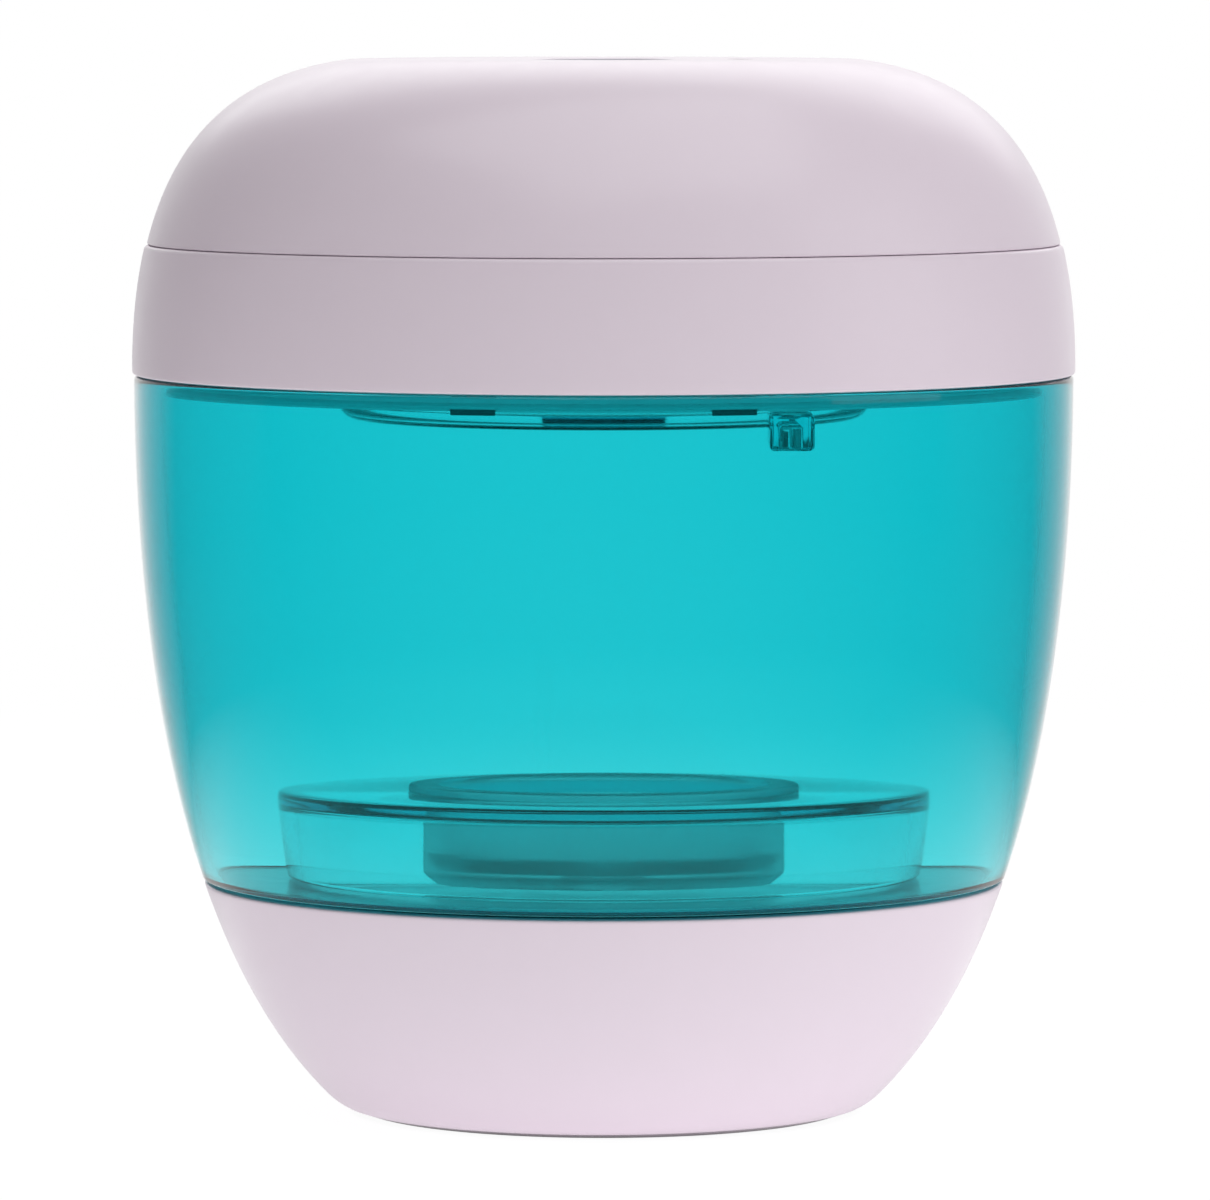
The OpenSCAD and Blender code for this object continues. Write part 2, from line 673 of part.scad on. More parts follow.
module uv_lamp() {
    bend_x = tube_end_x + tube_l;
    color([0.85, 0.9, 1, 0.6]) translate([0, 0, tube_z]) union() {
        for (y = [-1, 1]) x_cylinder(tube_end_x, bend_x, y * tube_pitch / 2, 0, tube_d / 2);
        translate([bend_x, 0, 0]) rotate(-90) rotate_extrude(angle = 180)
            translate([tube_pitch / 2, 0]) circle(d = tube_d, $fn = 48);
    }
}

// Boots over the tube's ends, each on a foot that hangs from the reflector
module lamp_boots() {
    color([0.25, 0.25, 0.27]) difference() {
        for (y = [-1, 1]) union() {
            x_cylinder(boot_x, tube_end_x + boot_lap, y * tube_pitch / 2, tube_z, boot_r);
            translate([boot_x + 3, y * tube_pitch / 2, tube_z])
                cylinder(r = boot_foot_r, h = dish_top - tube_z, $fn = 32);
        }
        for (y = [-1, 1]) {
            x_cylinder(tube_end_x, tube_end_x + boot_l, y * tube_pitch / 2, tube_z, tube_d / 2);
            translate([lead_x, y * tube_pitch / 2, tube_z]) cylinder(r = lead_r, h = boot_r + 5, $fn = 32);
        }
    }
}

module lamp_leads() {
    color([0.85, 0.85, 0.88]) for (y = [-1, 1]) translate([lead_x, y * tube_pitch / 2, tube_z])
        cylinder(r = lead_r, h = board_z - tube_z, $fn = 24);
}

module battery_tray() {
    color([0.3, 0.32, 0.34]) {
        translate([battery_shift, 0, 0]) difference() {
            translate([0, 0, tray_floor_z]) rounded_block(tray_l, tray_w, tray_wall + battery_t * 0.6, 1.5);
            translate([0, 0, battery_z])
                rounded_block(tray_l - 2 * tray_wall, tray_w - 2 * tray_wall, battery_t, 0.6);
            translate([0, 0, tray_floor_z - 1]) rounded_block(tray_l / 2, tray_w / 2, tray_wall + 2, 2);
        }
        tray_legs(0);
    }
}

// The battery tray's legs, or the notches round them when grown by a gap
module tray_legs(grow) {
    for (x = [-1, 1], y = [-1, 1]) translate([battery_shift + x * tray_leg_x, y * tray_leg_y, plate_top])
        cylinder(r = tray_leg_r + grow, h = tray_floor_z - plate_top + tray_wall, $fn = 32);
}

module battery() {
    color([0.7, 0.72, 0.75]) translate([battery_shift, 0, battery_z])
        rounded_block(battery_l, battery_w, battery_t, 1.2);
}

module charge_leads() {
    color([0.8, 0.2, 0.2]) for (x = [-1, 1]) translate([x * charge_lead_x, charge_lead_y, usb_z])
        cylinder(r = lead_r, h = board_z - usb_z, $fn = 24);
}

module circuit_board() {
    color([0.1, 0.45, 0.3]) difference() {
        translate([0, 0, board_z]) cylinder(r = board_r, h = board_t);
        around(board_angles, board_screw_r) translate([0, 0, board_z - 1])
            cylinder(d = screw_d + 2 * screw_head_gap, h = board_t + 2, $fn = 32);
    }
}

module board_screws() {
    color([0.75, 0.75, 0.78]) around(board_angles, board_screw_r) translate([0, 0, board_z])
        screw_up(board_t + board_screw_grip);
}

module lamp_transformer() {
    color([0.85, 0.75, 0.3]) translate([0, edge_y, board_z]) {
        translate([0, 0, -core_h]) rounded_block(core_l, core_w, core_h, 0.6);
        translate([0, 0, -core_base_h]) rounded_block(core_base_l, core_base_w, core_base_h, 0.6);
    }
}

module board_capacitors() {
    color([0.15, 0.2, 0.35]) for (x = [-1, 1]) translate([x * capacitor_x, capacitor_y, board_z - capacitor_h])
        cylinder(r = capacitor_r, h = capacitor_h, $fn = 48);
}

module board_chips() {
    color([0.12, 0.12, 0.13]) {
        // Each as [x, y] in board radii, and [length, width] in chip heights
        for (c = [[-0.46, 0.15, 4, 3], [0.42, 0.31, 3, 3], [-0.31, -0.42, 5, 2.5]])
            translate([c[0] * board_r, c[1] * board_r, board_top])
                rounded_block(c[2] * chip_h, c[3] * chip_h, chip_h, 0.3);
    }
}

module key_switch() {
    color([0.2, 0.2, 0.22]) {
        translate([0, 0, board_top]) rounded_block(switch_w, switch_w, key_top - key_cap_h - board_top, 0.5);
        translate([0, 0, key_top - key_cap_h - tiny]) cylinder(r = key_r, h = key_cap_h + tiny, $fn = 48);
    }
}

module status_led() {
    color([0.6, 0.9, 1]) translate([light_r, 0, board_top]) rounded_block(led_l, led_w, led_h, 0.3);
}

// Pipe that carries the status light from the board to the top
module light_pipe() {
    pipe_z = board_top + led_h + 0.2;
    color([0.9, 0.95, 1, 0.6]) {
        translate([light_r, 0, pipe_z]) cylinder(d = light_d, h = body_h - 0.05 - pipe_z, $fn = 32);
        translate([light_r, 0, cap_ceiling - 0.8]) cylinder(d = light_d + 1, h = 0.8, $fn = 32);
    }
}

module charge_board() {
    color([0.1, 0.45, 0.3]) intersection() {
        translate([-charge_board_w / 2, charge_board_front, charge_board_z])
            cube([charge_board_w, charge_board_back - charge_board_front, charge_board_t]);
        cylinder(r = ring_in_r - 0.4, h = body_h);
    }
}

module charge_socket() {
    slot_w = usb_w - 0.8;
    slot_h = usb_h - 0.8;
    color([0.8, 0.8, 0.82]) translate([0, usb_back, usb_z + usb_h / 2]) rotate([90, 0, 0]) difference() {
        rounded_block(usb_w, usb_h, usb_l, 0.8);
        translate([0, 0, -1]) rounded_block(slot_w, slot_h, usb_l, 0.5);
    }
}

module interlock_switch() {
    color([0.15, 0.15, 0.17]) rotate(interlock_angle) translate([0, -plunger_r, 0]) {
        translate([0, 0.6, latch_z]) rounded_block(latch_l, latch_w, latch_h, 0.4);
        for (x = [-1, 1]) translate([x * latch_leg_x, 1.4, plate_top])
            cylinder(r = latch_leg_r, h = latch_z - plate_top + tiny, $fn = 24);
    }
}

module lid_screws() {
    color([0.75, 0.75, 0.78]) around(post_angles, post_r) translate([0, 0, plate_top - head_seat])
        screw_up(head_seat + lid_screw_grip);
}

module hinge_pin() {
    half = notch_w / 2 + side_knuckle_w;
    color([0.75, 0.75, 0.78]) x_cylinder(-half, half, hinge_y, hinge_z, pin_d / 2);
}

module power_button() {
    r = button_d / 2;
    color([0.1, 0.7, 0.75]) turned([[0, button_flange_bottom], [button_flange_r, button_flange_bottom],
        [button_flange_r, button_flange_top], [r, button_flange_top], [r, button_face - 0.5],
        [r - 0.5, button_face], [r - 1.2, button_face], [0, button_face - 0.6]]);
}

module interlock_plunger() {
    color([0.95, 0.95, 0.96]) rotate(interlock_angle) translate([0, -plunger_r, 0]) {
        translate([0, 0, plunger_tip]) cylinder(d = plunger_d, h = plunger_top - plunger_tip, $fn = 48);
        translate([0, 0, plunger_collar_z]) cylinder(d = plunger_d + 1.6, h = plunger_collar_h, $fn = 48);
    }
}

base_shell();
foot_pad();
ballast_disc();
ballast_screws();
chamber();
pacifier_holder();
holder_cup();
lid_ring();
lid_cap();
inner_plate();
lid_seal();
lamp_cover();
lamp_reflector();
uv_lamp();
lamp_boots();
lamp_leads();
battery_tray();
battery();
charge_leads();
circuit_board();
board_screws();
lamp_transformer();
board_capacitors();
board_chips();
key_switch();
status_led();
light_pipe();
charge_board();
charge_socket();
interlock_switch();
lid_screws();
hinge_pin();
power_button();
interlock_plunger();
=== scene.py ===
"""Pacifier sterilizer case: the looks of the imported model, built in millimetres and set in metres."""
import json
import math

import bmesh
import bpy
from mathutils import Matrix, Vector


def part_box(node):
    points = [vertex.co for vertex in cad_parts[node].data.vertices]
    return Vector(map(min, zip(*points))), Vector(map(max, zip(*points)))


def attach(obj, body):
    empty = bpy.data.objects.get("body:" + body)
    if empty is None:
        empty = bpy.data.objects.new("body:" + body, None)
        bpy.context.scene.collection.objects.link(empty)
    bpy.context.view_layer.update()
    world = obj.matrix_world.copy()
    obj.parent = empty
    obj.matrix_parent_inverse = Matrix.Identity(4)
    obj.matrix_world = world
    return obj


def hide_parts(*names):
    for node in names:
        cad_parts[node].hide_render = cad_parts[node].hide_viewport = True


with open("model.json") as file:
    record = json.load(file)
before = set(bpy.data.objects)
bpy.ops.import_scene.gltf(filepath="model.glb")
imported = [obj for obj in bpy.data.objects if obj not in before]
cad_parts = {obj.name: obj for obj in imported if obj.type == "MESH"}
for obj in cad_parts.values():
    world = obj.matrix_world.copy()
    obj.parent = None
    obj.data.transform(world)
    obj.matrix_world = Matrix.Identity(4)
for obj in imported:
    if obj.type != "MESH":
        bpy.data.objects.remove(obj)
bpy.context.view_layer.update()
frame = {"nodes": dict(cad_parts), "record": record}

MM = 0.001

# ---------------------------------------------------------------- outline and levels (mm)

BODY_D = 76.0
BODY_H = 85.2
BELLY_Z = 60.2
TOP_FLAT_D = 41.4
SHOULDER_RISE = 17.8
SHOULDER_RUN = 9.6
SHOULDER_SLOPE = math.radians(7.5)
FLANK_DROP = 23.6
FLANK_RUN = 16.3
FLANK_SLOPE = math.radians(45.0)
FOOT_D = 37.6
FOOT_ROUND = 5.4
RING_PROUD = 0.14

BASE_WALL = 2.0
CHAMBER_WALL = 2.2
CHAMBER_FOOT_WALL = 1.2
THIN_FROM = 21.0
THICK_FROM = 35.0
LID_WALL = 2.0
HOLDER_WALL = 1.4
RUN_GAP = 0.3
FIT_GAP = 0.1
FINE_TURNS = 256


def low(node):
    """The node's lowest corner in mm."""
    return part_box(node)[0] / MM


def high(node):
    """The node's highest corner in mm."""
    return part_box(node)[1] / MM


def bezier(p, t):
    u = 1 - t
    return tuple(
        u ** 3 * a + 3 * t * u * u * b + 3 * t * t * u * c + t ** 3 * d
        for a, b, c, d in zip(*p)
    )


def case_outline(steps=56):
    """The outer outline from the foot up, as (radius, height) points."""
    foot_r = FOOT_D / 2
    arc = [
        (foot_r + FOOT_ROUND * math.sin(a), FOOT_ROUND * (1 - math.cos(a)))
        for a in (FLANK_SLOPE * i / 12 for i in range(13))
    ]
    start = arc[-1]
    belly = (BODY_D / 2, BELLY_Z)
    edge = (TOP_FLAT_D / 2, BODY_H)
    flank = (
        start,
        (start[0] + FLANK_RUN * math.cos(FLANK_SLOPE), start[1] + FLANK_RUN * math.sin(FLANK_SLOPE)),
        (belly[0], belly[1] - FLANK_DROP),
        belly,
    )
    shoulder = (
        belly,
        (belly[0], belly[1] + SHOULDER_RISE),
        (
            edge[0] + SHOULDER_RUN * math.cos(SHOULDER_SLOPE),
            edge[1] - SHOULDER_RUN * math.sin(SHOULDER_SLOPE),
        ),
        edge,
    )
    curve = [bezier(flank, i / steps) for i in range(1, steps + 1)]
    curve += [bezier(shoulder, i / steps) for i in range(1, steps + 1)]
    return arc + curve


OUTLINE = case_outline()


def inset(wall, foot_wall=None):
    """The outline moved inwards by a wall, which may thin out below the middle to another value."""
    foot_wall = wall if foot_wall is None else foot_wall
    moved = []
    last = len(OUTLINE) - 1
    for i, (r, z) in enumerate(OUTLINE):
        before = Vector(OUTLINE[max(i - 1, 0)])
        after = Vector(OUTLINE[min(i + 1, last)])
        d = (after - before).normalized()
        share = min(max((z - THIN_FROM) / (THICK_FROM - THIN_FROM), 0.0), 1.0)
        here = foot_wall + (wall - foot_wall) * share
        moved.append((r - here * d.y, z + here * d.x))
    return moved


def radius_at(curve, z):
    for (r0, z0), (r1, z1) in zip(curve, curve[1:]):
        if z0 <= z <= z1 and z1 > z0:
            return r0 + (r1 - r0) * (z - z0) / (z1 - z0)
    return curve[-1][0] if z > curve[-1][1] else curve[0][0]


def between(curve, z0, z1, margin=0.45):
    """The stretch of a curve between two heights, with its ends exactly there."""
    middle = [p for p in curve if z0 + margin < p[1] < z1 - margin]
    return [(radius_at(curve, z0), z0)] + middle + [(radius_at(curve, z1), z1)]


def rounded(corner_list, steps=5):
    """A closed profile in which a point written as (r, z, radius) becomes a small arc."""
    made = []
    count = len(corner_list)
    for i, point in enumerate(corner_list):
        here = Vector(point[:2])
        if len(point) < 3 or point[2] <= 0:
            made.append(tuple(here))
            continue
        to_last = Vector(corner_list[i - 1][:2]) - here
        to_next = Vector(corner_list[(i + 1) % count][:2]) - here
        half = to_last.angle(to_next) / 2
        cut = min(point[2] / math.tan(half), to_last.length * 0.48, to_next.length * 0.48)
        a = here + to_last.normalized() * cut
        b = here + to_next.normalized() * cut
        for k in range(steps + 1):
            t = k / steps
            made.append(tuple(a * (1 - t) ** 2 + here * 2 * t * (1 - t) + b * t * t))
    return made


def with_round(points, first=0.0, last=0.0):
    """The same stretch, with a radius written on its first and last point."""
    points = list(points)
    points[0] = (*points[0][:2], first)
    points[-1] = (*points[-1][:2], last)
    return points


# ---------------------------------------------------------------- mesh helpers


def new_object(name, mesh):
    made = bpy.data.objects.new(name, mesh)
    bpy.context.scene.collection.objects.link(made)
    return made


def shade(bm, angle=30.0):
    """Smooth faces, with edges sharper than the angle left sharp."""
    limit = math.radians(angle)
    for face in bm.faces:
        face.smooth = True
    for edge in bm.edges:
        edge.smooth = edge.is_boundary or edge.calc_face_angle(0.0) < limit


def finish_mesh(name, bm, angle=30.0):
    bmesh.ops.recalc_face_normals(bm, faces=bm.faces)
    shade(bm, angle)
    mesh = bpy.data.meshes.new(name)
    bm.to_mesh(mesh)
    bm.free()
    return new_object(name, mesh)


def lathe(name, profile, turns=180, angle=30.0):
    """A closed solid of revolution about Z from a closed profile in mm."""
    bm = bmesh.new()
    rings = []
    for r, z in profile:
        if r < 1e-6:
            rings.append([bm.verts.new((0, 0, z * MM))])
        else:
            turn = [2 * math.pi * k / turns for k in range(turns)]
            rings.append([bm.verts.new((r * MM * math.cos(a), r * MM * math.sin(a), z * MM)) for a in turn])
    for i, ring in enumerate(rings):
        other = rings[(i + 1) % len(rings)]
        if len(ring) == 1 and len(other) == 1:
            continue
        for k in range(turns):
            n = (k + 1) % turns
            if len(ring) == 1:
                bm.faces.new((ring[0], other[k], other[n]))
            elif len(other) == 1:
                bm.faces.new((ring[k], other[0], ring[n]))
            else:
                bm.faces.new((ring[k], other[k], other[n], ring[n]))
    return finish_mesh(name, bm, angle)


def block(name, size, centre, bevel=0.3, segments=3):
    """A bevelled box, size and centre in mm."""
    bm = bmesh.new()
    bmesh.ops.create_cube(bm, size=1.0)
    bmesh.ops.scale(bm, vec=Vector(size) * MM, verts=bm.verts)
    if bevel > 0:
        bmesh.ops.bevel(
            bm, geom=bm.edges[:], offset=bevel * MM, segments=segments, profile=0.5, affect="EDGES"
        )
    bmesh.ops.translate(bm, vec=Vector(centre) * MM, verts=bm.verts)
    return finish_mesh(name, bm)


def rod(name, radius, start, end, sides=48, bevel=0.0):
    """A cylinder between two points in mm."""
    start, end = Vector(start) * MM, Vector(end) * MM
    along = end - start
    bm = bmesh.new()
    bmesh.ops.create_cone(
        bm, cap_ends=True, segments=sides, radius1=radius * MM, radius2=radius * MM, depth=along.length
    )
    if bevel > 0:
        rims = [e for e in bm.edges if abs(e.verts[0].co.z - e.verts[1].co.z) < 1e-9]
        bmesh.ops.bevel(bm, geom=rims, offset=bevel * MM, segments=3, profile=0.5, affect="EDGES")
    turn = Vector((0, 0, 1)).rotation_difference(along).to_matrix().to_4x4()
    bmesh.ops.transform(bm, matrix=Matrix.Translation((start + end) / 2) @ turn, verts=bm.verts)
    return finish_mesh(name, bm)


def prism_x(name, points, x0, x1, bevel=0.0):
    """A solid with the given (y, z) outline between two x positions, in mm."""
    bm = bmesh.new()
    face = bm.faces.new([bm.verts.new((x0 * MM, y * MM, z * MM)) for y, z in points])
    made = bmesh.ops.extrude_face_region(bm, geom=[face])
    moved = [v for v in made["geom"] if isinstance(v, bmesh.types.BMVert)]
    bmesh.ops.translate(bm, vec=((x1 - x0) * MM, 0, 0), verts=moved)
    bmesh.ops.recalc_face_normals(bm, faces=bm.faces)
    if bevel > 0:
        bmesh.ops.bevel(bm, geom=bm.edges[:], offset=bevel * MM, segments=3, profile=0.5, affect="EDGES")
    return finish_mesh(name, bm)


def merge(target, tool, operation):
    """Joins a tool to a piece, or cuts it out, for good."""
    change = target.modifiers.new("change", "BOOLEAN")
    change.operation = operation
    change.solver = "EXACT"
    change.object = tool
    graph = bpy.context.evaluated_depsgraph_get()
    mesh = bpy.data.meshes.new_from_object(target.evaluated_get(graph))
    target.modifiers.clear()
    target.data = mesh
    bpy.data.objects.remove(tool)
    bm = bmesh.new()
    bm.from_mesh(mesh)
    bmesh.ops.remove_doubles(bm, verts=bm.verts, dist=1e-7)
    bmesh.ops.dissolve_degenerate(bm, dist=1e-7, edges=bm.edges)
    shade(bm)
    bm.to_mesh(mesh)
    bm.free()
    return target


def add(target, *tools):
    for tool in tools:
        merge(target, tool, "UNION")
    return target


def cut(target, *tools):
    for tool in tools:
        merge(target, tool, "DIFFERENCE")
    return target


# ---------------------------------------------------------------- materials


def material(name):
    made = bpy.data.materials.new(name)
    made.use_nodes = True
    return made, made.node_tree.nodes, made.node_tree.links


def shader_of(nodes):
    return nodes["Principled BSDF"]


def set_values(node, values):
    for key, value in values.items():
        node.inputs[key].default_value = value


def noise(nodes, links, scale, detail=3.0, rough=0.55, stretch=None):
    """A noise texture on object coordinates, with an optional stretch along the axes."""
    place = nodes.new("ShaderNodeTexCoord")
    made = nodes.new("ShaderNodeTexNoise")
    set_values(made, {"Scale": scale, "Detail": detail, "Roughness": rough})
    if stretch:
        mapping = nodes.new("ShaderNodeMapping")
        mapping.inputs["Scale"].default_value = stretch
        links.new(place.outputs["Object"], mapping.inputs["Vector"])
        links.new(mapping.outputs["Vector"], made.inputs["Vector"])
    else:
        links.new(place.outputs["Object"], made.inputs["Vector"])
    return made


def to_range(nodes, links, source, low_value, high_value, from_low=0.3, from_high=0.7):
    made = nodes.new("ShaderNodeMapRange")
    set_values(
        made,
        {"From Min": from_low, "From Max": from_high, "To Min": low_value, "To Max": high_value},
    )
    links.new(source, made.inputs["Value"])
    return made.outputs["Result"]


def two_colours(nodes, links, source, first, second, from_low=0.35, from_high=0.65):
    ramp = nodes.new("ShaderNodeValToRGB")
    ramp.color_ramp.elements[0].position = from_low
    ramp.color_ramp.elements[0].color = (*first, 1)
    ramp.color_ramp.elements[1].position = from_high
    ramp.color_ramp.elements[1].color = (*second, 1)
    links.new(source, ramp.inputs["Fac"])
    return ramp.outputs["Color"]


def bump(nodes, links, source, strength, distance):
    made = nodes.new("ShaderNodeBump")
    set_values(made, {"Strength": strength, "Distance": distance})
    links.new(source, made.inputs["Height"])
    return made.outputs["Normal"]


def moulded(name, first, second, rough=(0.25, 0.34), grain=900.0, depth=0.00002, coat=0.0, sheen=0.0):
    """Opaque moulded plastic or rubber: a faint colour drift, fine skin and uneven gloss."""
    made, nodes, links = material(name)
    skin = shader_of(nodes)
    set_values(skin, {"IOR": 1.5, "Coat Weight": coat, "Coat Roughness": 0.12, "Sheen Weight": sheen})
    drift = noise(nodes, links, 380.0, 3.0)
    colour = two_colours(nodes, links, drift.outputs["Fac"], first, second, 0.2, 0.8)
    links.new(colour, skin.inputs["Base Color"])
    patches = noise(nodes, links, 450.0, 2.0)
    links.new(to_range(nodes, links, patches.outputs["Fac"], *rough), skin.inputs["Roughness"])
    fine = noise(nodes, links, grain, 2.0)
    links.new(bump(nodes, links, fine.outputs["Fac"], 0.35, depth), skin.inputs["Normal"])
    return made


def clear(name, passed, density, rough=(0.01, 0.05), ior=1.49, wave=0.00002, wave_scale=60.0, tint=(1, 1, 1)):
    """Clear plastic or silicone: its colour deepens with the thickness that the light passes."""
    made, nodes, links = material(name)
    skin = shader_of(nodes)
    set_values(skin, {"Base Color": (*tint, 1), "IOR": ior, "Transmission Weight": 1.0})
    smear = noise(nodes, links, 45.0, 5.0, 0.6, stretch=(1.0, 1.0, 0.4))
    links.new(to_range(nodes, links, smear.outputs["Fac"], *rough), skin.inputs["Roughness"])
    flow = noise(nodes, links, wave_scale, 1.0, 0.4)
    links.new(bump(nodes, links, flow.outputs["Fac"], 0.25, wave), skin.inputs["Normal"])
    through = nodes.new("ShaderNodeBsdfTransparent")
    path = nodes.new("ShaderNodeLightPath")
    blend = nodes.new("ShaderNodeMixShader")
    links.new(path.outputs["Is Shadow Ray"], blend.inputs["Fac"])
    links.new(skin.outputs["BSDF"], blend.inputs[1])
    links.new(through.outputs["BSDF"], blend.inputs[2])
    links.new(blend.outputs["Shader"], nodes["Material Output"].inputs["Surface"])
    body = nodes.new("ShaderNodeVolumeAbsorption")
    set_values(body, {"Color": (*passed, 1), "Density": density})
    links.new(body.outputs["Volume"], nodes["Material Output"].inputs["Volume"])
    return made


def milky(name, first, second, rough=(0.3, 0.4), through=0.5):
    """Clouded plastic: part of the light is scattered back, part passes on, diffused."""
    made = moulded(name, first, second, rough, 900.0, 0.00001)
    nodes, links = made.node_tree.nodes, made.node_tree.links
    veil = nodes.new("ShaderNodeBsdfTranslucent")
    veil.inputs["Color"].default_value = (*second, 1)
    blend = nodes.new("ShaderNodeMixShader")
    blend.inputs["Fac"].default_value = through
    links.new(shader_of(nodes).outputs["BSDF"], blend.inputs[1])
    links.new(veil.outputs["BSDF"], blend.inputs[2])
    links.new(blend.outputs["Shader"], nodes["Material Output"].inputs["Surface"])
    return made


def metal(name, first, second, rough=(0.18, 0.32), stretch=(1.0, 1.0, 1.0), scale=400.0, depth=0.00001):
    made, nodes, links = material(name)
    skin = shader_of(nodes)
    set_values(skin, {"Metallic": 1.0})
    drift = noise(nodes, links, 60.0, 3.0)
    links.new(two_colours(nodes, links, drift.outputs["Fac"], first, second), skin.inputs["Base Color"])
    lines = noise(nodes, links, scale, 4.0, 0.6, stretch)
    links.new(to_range(nodes, links, lines.outputs["Fac"], *rough), skin.inputs["Roughness"])
    links.new(bump(nodes, links, lines.outputs["Fac"], 0.3, depth), skin.inputs["Normal"])
    return made


LILAC = (0.80, 0.70, 0.785)
LILAC_DEEP = (0.795, 0.694, 0.778)

MATERIALS = {
    "shell_white": moulded("shell_white", LILAC_DEEP, LILAC, rough=(0.28, 0.32), grain=1500.0, depth=0.000004),
    "chamber_teal": clear("chamber_teal", (0.091, 0.888, 0.912), 1100.0),
    "chamber_grained": milky("chamber_grained", (0.42, 0.9, 0.92), (0.5, 0.93, 0.95), (0.1, 0.18), 0.12),
    "holder_teal": clear("holder_teal", (0.1, 0.885, 0.91), 260.0),
    "cup_silicone": clear(
        "cup_silicone", (0.9, 0.9, 0.9), 60.0, rough=(0.3, 0.4), ior=1.12, tint=(0.7, 0.74, 0.75)
    ),
    "pad_rubber": moulded("pad_rubber", (0.66, 0.6, 0.65), (0.72, 0.66, 0.71), (0.6, 0.75), 1200.0, 0.00003),
    "steel": metal("steel", (0.56, 0.56, 0.58), (0.66, 0.66, 0.68)),
    "seal_rubber": moulded("seal_rubber", (0.78, 0.8, 0.81), (0.84, 0.86, 0.87), (0.42, 0.55), 900.0, 0.00002),
    "inner_white": moulded("inner_white", (0.91, 0.91, 0.92), (0.94, 0.94, 0.95), (0.3, 0.4), 1200.0, 0.00001),
    "cover_clear": clear("cover_clear", (0.9, 0.97, 0.98), 30.0, rough=(0.03, 0.08), ior=1.12),
    "tab_rubber": moulded("tab_rubber", (0.03, 0.035, 0.04), (0.04, 0.045, 0.05), (0.45, 0.55), 900.0, 0.00002),
    "zinc_plate": metal("zinc_plate", (0.78, 0.78, 0.8), (0.84, 0.84, 0.86), (0.5, 0.62), scale=250.0),
    "reflector_foil": metal("reflector_foil", (0.82, 0.83, 0.85), (0.9, 0.9, 0.92), (0.08, 0.18)),
    "lamp_glass": clear("lamp_glass", (0.9, 0.95, 1.0), 60.0, rough=(0.0, 0.03)),
    "boot_rubber": moulded("boot_rubber", (0.03, 0.03, 0.033), (0.045, 0.045, 0.05), (0.5, 0.65)),
    "lead_sleeve": moulded("lead_sleeve", (0.72, 0.72, 0.74), (0.78, 0.78, 0.8), (0.35, 0.45)),
    "red_sleeve": moulded("red_sleeve", (0.5, 0.03, 0.02), (0.58, 0.05, 0.03), (0.35, 0.45)),
    "tray_plastic": moulded("tray_plastic", (0.05, 0.055, 0.06), (0.065, 0.07, 0.075), (0.4, 0.52)),
    "cell_wrap": metal("cell_wrap", (0.6, 0.61, 0.64), (0.7, 0.71, 0.74), (0.28, 0.42)),
    "board_green": moulded("board_green", (0.01, 0.14, 0.07), (0.015, 0.2, 0.1), (0.25, 0.35)),
    "winding_tape": moulded("winding_tape", (0.6, 0.42, 0.05), (0.68, 0.5, 0.08), (0.3, 0.4)),
    "capacitor_sleeve": moulded("capacitor_sleeve", (0.015, 0.025, 0.09), (0.02, 0.035, 0.12), (0.3, 0.4)),
    "chip_black": moulded("chip_black", (0.012, 0.012, 0.013), (0.02, 0.02, 0.022), (0.4, 0.55)),
    "led_white": moulded("led_white", (0.8, 0.78, 0.6), (0.86, 0.85, 0.75), (0.2, 0.3)),
    "pipe_clear": clear("pipe_clear", (0.8, 0.9, 0.95), 40.0, rough=(0.05, 0.12)),
    "socket_metal": metal("socket_metal", (0.7, 0.7, 0.72), (0.8, 0.8, 0.82), (0.15, 0.25)),
    "button_teal": moulded("button_teal", (0.02, 0.42, 0.45), (0.025, 0.47, 0.5), (0.22, 0.3)),
}

for part in frame["record"]["subparts"]:
    cad_node = frame["nodes"][part["node"]]
    cad_node.data.materials.clear()
    cad_node.data.materials.append(MATERIALS[part["material_slot"]])


def dress(made, body, finish, *nodes):
    """Gives a piece its finish and its body, and puts it in the place of CAD nodes."""
    made.data.materials.clear()
    made.data.materials.append(MATERIALS[finish])
    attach(made, body)
    if nodes:
        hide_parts(*nodes)
    return made


# ---------------------------------------------------------------- base

base_top = high("base_shell").z
ring_low = low("lid_ring").z
ring_top = high("lid_ring").z
cap_top = high("lid_cap").z
hinge_y = (low("hinge_pin").y + high("hinge_pin").y) / 2
hinge_z = (low("hinge_pin").z + high("hinge_pin").z) / 2
pin_r = (high("hinge_pin").z - low("hinge_pin").z) / 2
BASE_IN = inset(BASE_WALL)
CHAMBER_IN = inset(CHAMBER_WALL, CHAMBER_FOOT_WALL)
LID_IN = inset(LID_WALL)

FLOOR_TOP = 19.3
FLOOR_T = 1.8
SEAM_GAP = 0.3
BASE_SEAM = 18.9
LID_SEAM = 59.8
CAP_SEAM = 70.3
chamber_low = BASE_SEAM + SEAM_GAP / 2
LID_SEAM_HALF = 0.05
CAP_SEAM_HALF = 0.02
chamber_rim = LID_SEAM - LID_SEAM_HALF
lid_edge = LID_SEAM + LID_SEAM_HALF
cap_low = CAP_SEAM + CAP_SEAM_HALF
ring_edge = CAP_SEAM - CAP_SEAM_HALF
SPIGOT_H = 3.6
SPIGOT_WALL = 1.8
PAD_PROUD = 0.08


